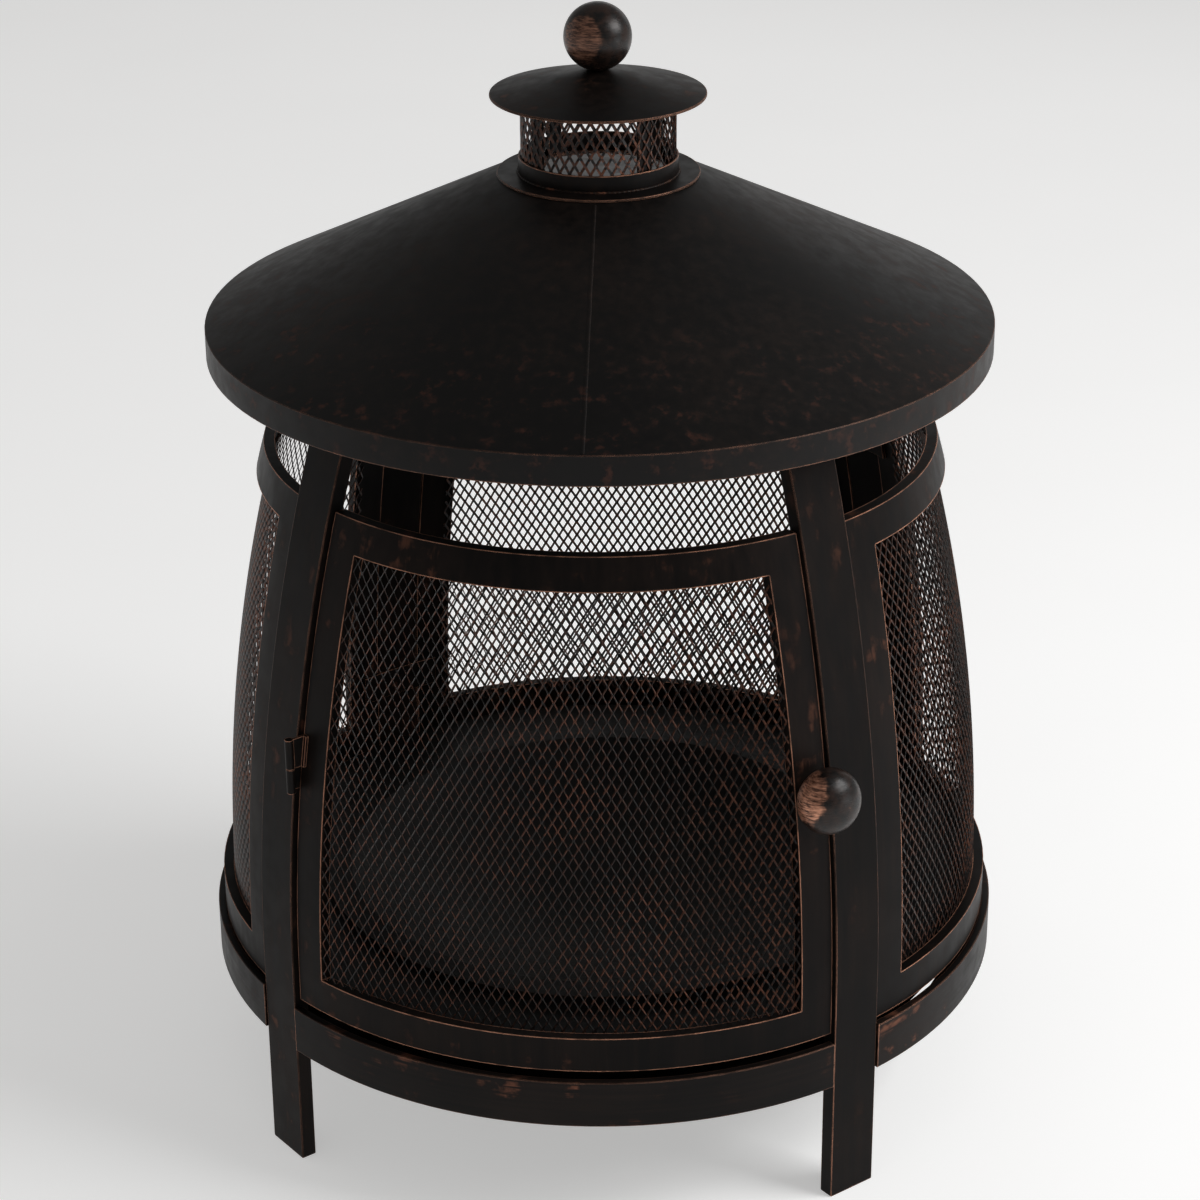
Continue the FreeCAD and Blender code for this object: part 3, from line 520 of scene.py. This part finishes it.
def panel_mesh(name, surface, edge, ends, body, replaced, open_ends=None,
               strand=(STRAND_TILT, STRAND_W)):
    """Expanded-metal sheet of one panel. Where it is too near the face to pass behind the rails,
    it ends at the window."""
    t0, t1 = (surface.along(z) for z in ends)
    low, high = (surface.along(z) for z in open_ends or ends)

    def inside(s, t):
        if not t0 <= t <= t1:
            return False
        if not low <= t <= high and open_ends and surface.depth(s, t) < BEHIND_RAIL:
            return False
        r = surface.radius(t)
        return r * math.sin(LEG_TURN - abs(s) / r) >= edge

    reach = int(surface.base * LEG_TURN / (DIAMOND_W / 2))
    verts, faces = [], []
    for i in range(-reach, reach + 1):
        points = ribbon_line(i * DIAMOND_W / 2, t0 - DIAMOND_H, t1 + DIAMOND_H, i % 2)
        for run in clip_line(points, inside):
            sweep_ribbon(verts, faces, surface, run, *strand)
    obj = finish_mesh(name, verts, faces, mesh_paint, body)
    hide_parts(replaced)


for side in PANEL_SIDES:
    panel_mesh(side + "_expanded_mesh", Bow(PANEL_FACE - PANEL_DEPTH, SIDES[side]), PANEL_EDGE, PANEL_ENDS,
               "stand", side + "_panel_mesh")
panel_mesh("door_expanded_mesh", DoorSheet(DOOR_FACE, SIDES["front"] + DOOR_TURN), DOOR_WINDOW,
           DOOR_ENDS, "door", "door_mesh", DOOR_WINDOW_ENDS, (DOOR_TILT, DOOR_STRAND_W))


def chimney_mesh():
    """Expanded-metal tube round the flue."""
    low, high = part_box("chimney_mesh")
    surface = Bow(CHIMNEY_R, 0.0, None)
    step = 2 * math.pi * CHIMNEY_R / CHIMNEY_STRANDS
    verts, faces = [], []
    z0, z1 = low.z + 0.0002, high.z - 0.0002
    for i in range(CHIMNEY_STRANDS):
        points = ribbon_line(i * step, z0 - DIAMOND_H, z1 + DIAMOND_H, i % 2)
        for run in clip_line(points, lambda s, t: z0 <= t <= z1):
            sweep_ribbon(verts, faces, surface, run)
    obj = finish_mesh("chimney_expanded_mesh", verts, faces, mesh_paint, "stand")
    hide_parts("chimney_mesh")


chimney_mesh()


# ---------------------------------------------------------------- welds and seam

# Weld beads: sides of the section, step along the bead, swell of the ripples and radii.
BEAD_SIDES = 8
BEAD_STEP = 0.0009
BEAD_RIPPLE = 0.16
BEAD_R = 0.0014
FINE_BEAD_R = 0.0011

# Where the beads lie: on the bands' ends beside a leg, under the brackets and on the panels' tabs.
BAND_FACE = 0.3096
BAND_JOINT = 0.0216
BRACKET_FACE = 0.3018
BRACKET_FOOT_Z = 0.0818
BRACKET_HALF = 0.013
TAB_LEVELS = (0.1898, 0.4518)
TAB_NEAR = 0.003
TAB_FAR = 0.017
TAB_BOW = Bow(0.3019, 0.0)

# Lap seam of the cone: place round the axis, from the land to the rim, and its section.
SEAM_TURN = math.radians(-84.5)
SEAM_IN = 0.0785
SEAM_OUT = 0.2985
SEAM_ROWS = 60
SEAM_WAVE = 0.00025
SEAM_SECTION = ((-0.0021, -0.0003), (-0.0015, 0.00020), (0.0, 0.00028), (0.0013, 0.00022), (0.0017, -0.0003))


def bead(verts, faces, line, radius, closed=False):
    """A rippled weld bead along a line of points."""
    first = len(verts)
    count = len(line)
    for i, point in enumerate(line):
        before = line[i - 1] if i or closed else line[0]
        after = line[(i + 1) % count] if i + 1 < count or closed else line[-1]
        along = (after - before).normalized()
        side = along.cross(Vector((0.3, 0.2, 0.93))).normalized()
        up = side.cross(along)
        size = radius * (1.0 + BEAD_RIPPLE * math.sin(i * math.pi / 2))
        for k in range(BEAD_SIDES):
            turn = 2 * math.pi * k / BEAD_SIDES
            verts.append(point + side * (size * math.cos(turn)) + up * (size * math.sin(turn)))
    for i in range(count if closed else count - 1):
        low, high = first + i * BEAD_SIDES, first + (i + 1) % count * BEAD_SIDES
        for k in range(BEAD_SIDES):
            other = (k + 1) % BEAD_SIDES
            faces.append((low + k, low + other, high + other, high + k))
    if not closed:
        last = first + (count - 1) * BEAD_SIDES
        faces.append(tuple(first + k for k in reversed(range(BEAD_SIDES))))
        faces.append(tuple(last + k for k in range(BEAD_SIDES)))


def straight(start, end):
    """Points along a straight bead."""
    steps = max(int((end - start).length / BEAD_STEP), 2)
    return [start.lerp(end, i / steps) for i in range(steps + 1)]


def leg_point(polar, r, across, z):
    """Point in the frame of a leg: outwards, sideways, up."""
    turn = math.radians(polar)
    out = Vector((math.cos(turn), math.sin(turn), 0.0))
    side = Vector((-math.sin(turn), math.cos(turn), 0.0))
    return out * r + side * across + Vector((0.0, 0.0, z))


def weld_beads():
    """Beads round the collar, on the ends of the bands, under the brackets and on the tabs."""
    verts, faces = [], []
    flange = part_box("roof_flange")[1]
    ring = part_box("chimney_collar")[1].x + 0.0002
    count = int(2 * math.pi * ring / BEAD_STEP)
    circle = [Vector((ring * math.cos(2 * math.pi * i / count), ring * math.sin(2 * math.pi * i / count),
                      flange.z + 0.0002)) for i in range(count)]
    bead(verts, faces, circle, FINE_BEAD_R, True)
    band_low, band_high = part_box("front_band")
    for polar in LEGS.values():
        for across in (-BAND_JOINT, BAND_JOINT):
            foot = leg_point(polar, BAND_FACE, across, band_low.z + 0.004)
            head = leg_point(polar, BAND_FACE, across, band_high.z - 0.003)
            bead(verts, faces, straight(foot, head), BEAD_R)
        left = leg_point(polar, BRACKET_FACE, -BRACKET_HALF, BRACKET_FOOT_Z)
        right = leg_point(polar, BRACKET_FACE, BRACKET_HALF, BRACKET_FOOT_Z)
        bead(verts, faces, straight(left, right), BEAD_R)
        for level in TAB_LEVELS:
            for sign in (-1.0, 1.0):
                place = leg_point(polar, TAB_BOW.radius(TAB_BOW.along(level)), 0.0, level)
                side = leg_point(polar, 0.0, sign, 0.0)
                line = straight(place + side * TAB_NEAR, place + side * TAB_FAR)
                bead(verts, faces, line, FINE_BEAD_R)
    finish_mesh("weld_beads", verts, faces, small_paint, "stand", True)


def roof_seam():
    """Lap seam of the rolled cone, a low ridge from the land to the rim."""
    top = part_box("roof")[1].z
    out = Vector((math.cos(SEAM_TURN), math.sin(SEAM_TURN), 0.0))
    side = Vector((-math.sin(SEAM_TURN), math.cos(SEAM_TURN), 0.0))
    start = out * SEAM_IN + Vector((0.0, 0.0, top - (SEAM_IN - LAND_R) * ROOF_SLOPE))
    end = out * SEAM_OUT + Vector((0.0, 0.0, top - (SEAM_OUT - LAND_R) * ROOF_SLOPE))
    lean = (end - start).normalized()
    up = side.cross(lean).normalized()
    if up.z < 0:
        up = -up
    verts, faces = [], []
    for i in range(SEAM_ROWS + 1):
        wave = SEAM_WAVE * noise.noise(Vector((i * 0.21, 3.0, 1.0)))
        point = start.lerp(end, i / SEAM_ROWS)
        for across, height in SEAM_SECTION:
            verts.append(point + side * (across + wave) + up * height)
    n = len(SEAM_SECTION)
    for i in range(SEAM_ROWS):
        for k in range(n - 1):
            a = i * n + k
            faces.append((a, a + 1, a + n + 1, a + n))
    finish_mesh("roof_seam", verts, faces, roof_paint, "stand", True)


weld_beads()
roof_seam()


# ---------------------------------------------------------------- stage, light, camera

FLOOR_HALF = 9
FLOOR_GLOW = 0.42
SOFT_WHITE = (1.0, 0.995, 0.985, 1.0)

# The sky's strength falls from the horizon to this height of the view direction.
HORIZON_Z, HORIZON_STRENGTH = 0.02, 0.40
SKY_Z, SKY_STRENGTH = 0.30, 0.22

CAMERA_PLACE = (0.3182, -2.2930, 1.4364)
CAMERA_TURN = math.radians(7.9)
CAMERA_DOWN = math.radians(24.39)
CAMERA_ROLL = math.radians(-0.42)
CAMERA_LENS = 95.94
CAMERA_SHIFT = -0.0015


def stage_floor():
    """Pale ground that glows a little, so that it stays even."""
    data = bpy.data.meshes.new("floor")
    corners = [(x * FLOOR_HALF, y * FLOOR_HALF, 0) for x, y in ((-1, -1), (1, -1), (1, 1), (-1, 1))]
    data.from_pydata(corners, [], [(0, 1, 2, 3)])
    floor = bpy.data.objects.new("floor", data)
    bpy.context.scene.collection.objects.link(floor)
    s = Shader("floor_pale")
    s.put(s.bsdf.inputs["Base Color"], s.blend(s.noise(3.0, 2.0), (0.80, 0.80, 0.80), (0.84, 0.84, 0.84)))
    s.bsdf.inputs["Roughness"].default_value = 0.9
    s.bsdf.inputs["Specular IOR Level"].default_value = 0.1
    s.bsdf.inputs["Emission Color"].default_value = SOFT_WHITE
    s.bsdf.inputs["Emission Strength"].default_value = FLOOR_GLOW
    data.materials.append(s.mat)


def area_light(name, place, target, size, power):
    """A rectangular soft box aimed at a point."""
    data = bpy.data.lights.new(name, "AREA")
    data.shape = "RECTANGLE"
    data.size, data.size_y = size
    data.energy = power
    lamp = bpy.data.objects.new(name, data)
    bpy.context.scene.collection.objects.link(lamp)
    lamp.location = place
    lamp.rotation_euler = (Vector(target) - Vector(place)).to_track_quat("-Z", "Y").to_euler()


def studio():
    """Floor, a strong soft box above right, three weak ones, and a dim sky."""
    stage_floor()
    area_light("right_box", (2.7, -0.3, 2.5), (0.0, 0.0, 0.35), (1.9, 1.7), 76)
    area_light("left_box", (-2.9, 0.6, 1.4), (0.0, 0.0, 0.4), (1.6, 1.4), 2)
    area_light("back_box", (0.6, 3.4, 1.6), (0.0, 0.0, 0.3), (3.6, 1.2), 5)
    area_light("front_box", (3.0, -0.8, 0.5), (0.0, 0.0, 0.1), (1.4, 0.6), 6)
    world = bpy.data.worlds.new("studio")
    bpy.context.scene.world = world
    world.use_nodes = True
    tree = world.node_tree
    back = tree.nodes["Background"]
    coord = tree.nodes.new("ShaderNodeTexCoord")
    split = tree.nodes.new("ShaderNodeSeparateXYZ")
    rise = tree.nodes.new("ShaderNodeMapRange")
    for index, number in enumerate((HORIZON_Z, SKY_Z, HORIZON_STRENGTH, SKY_STRENGTH)):
        rise.inputs[index + 1].default_value = number
    tree.links.new(coord.outputs["Generated"], split.inputs[0])
    tree.links.new(split.outputs["Z"], rise.inputs[0])
    tree.links.new(rise.outputs[0], back.inputs["Strength"])
    back.inputs["Color"].default_value = SOFT_WHITE


def camera():
    data = bpy.data.cameras.new("camera")
    data.sensor_width = 36.0
    data.lens = CAMERA_LENS
    data.shift_x = CAMERA_SHIFT
    obj = bpy.data.objects.new("camera", data)
    bpy.context.scene.collection.objects.link(obj)
    place = Matrix.Translation(CAMERA_PLACE)
    turn = Matrix.Rotation(CAMERA_TURN, 4, "Z")
    tip = Matrix.Rotation(math.radians(90.0) - CAMERA_DOWN, 4, "X")
    roll = Matrix.Rotation(CAMERA_ROLL, 4, "Z")
    obj.matrix_world = place @ turn @ tip @ roll
    bpy.context.scene.camera = obj


studio()
camera()
bpy.context.scene.view_settings.view_transform = "Standard"
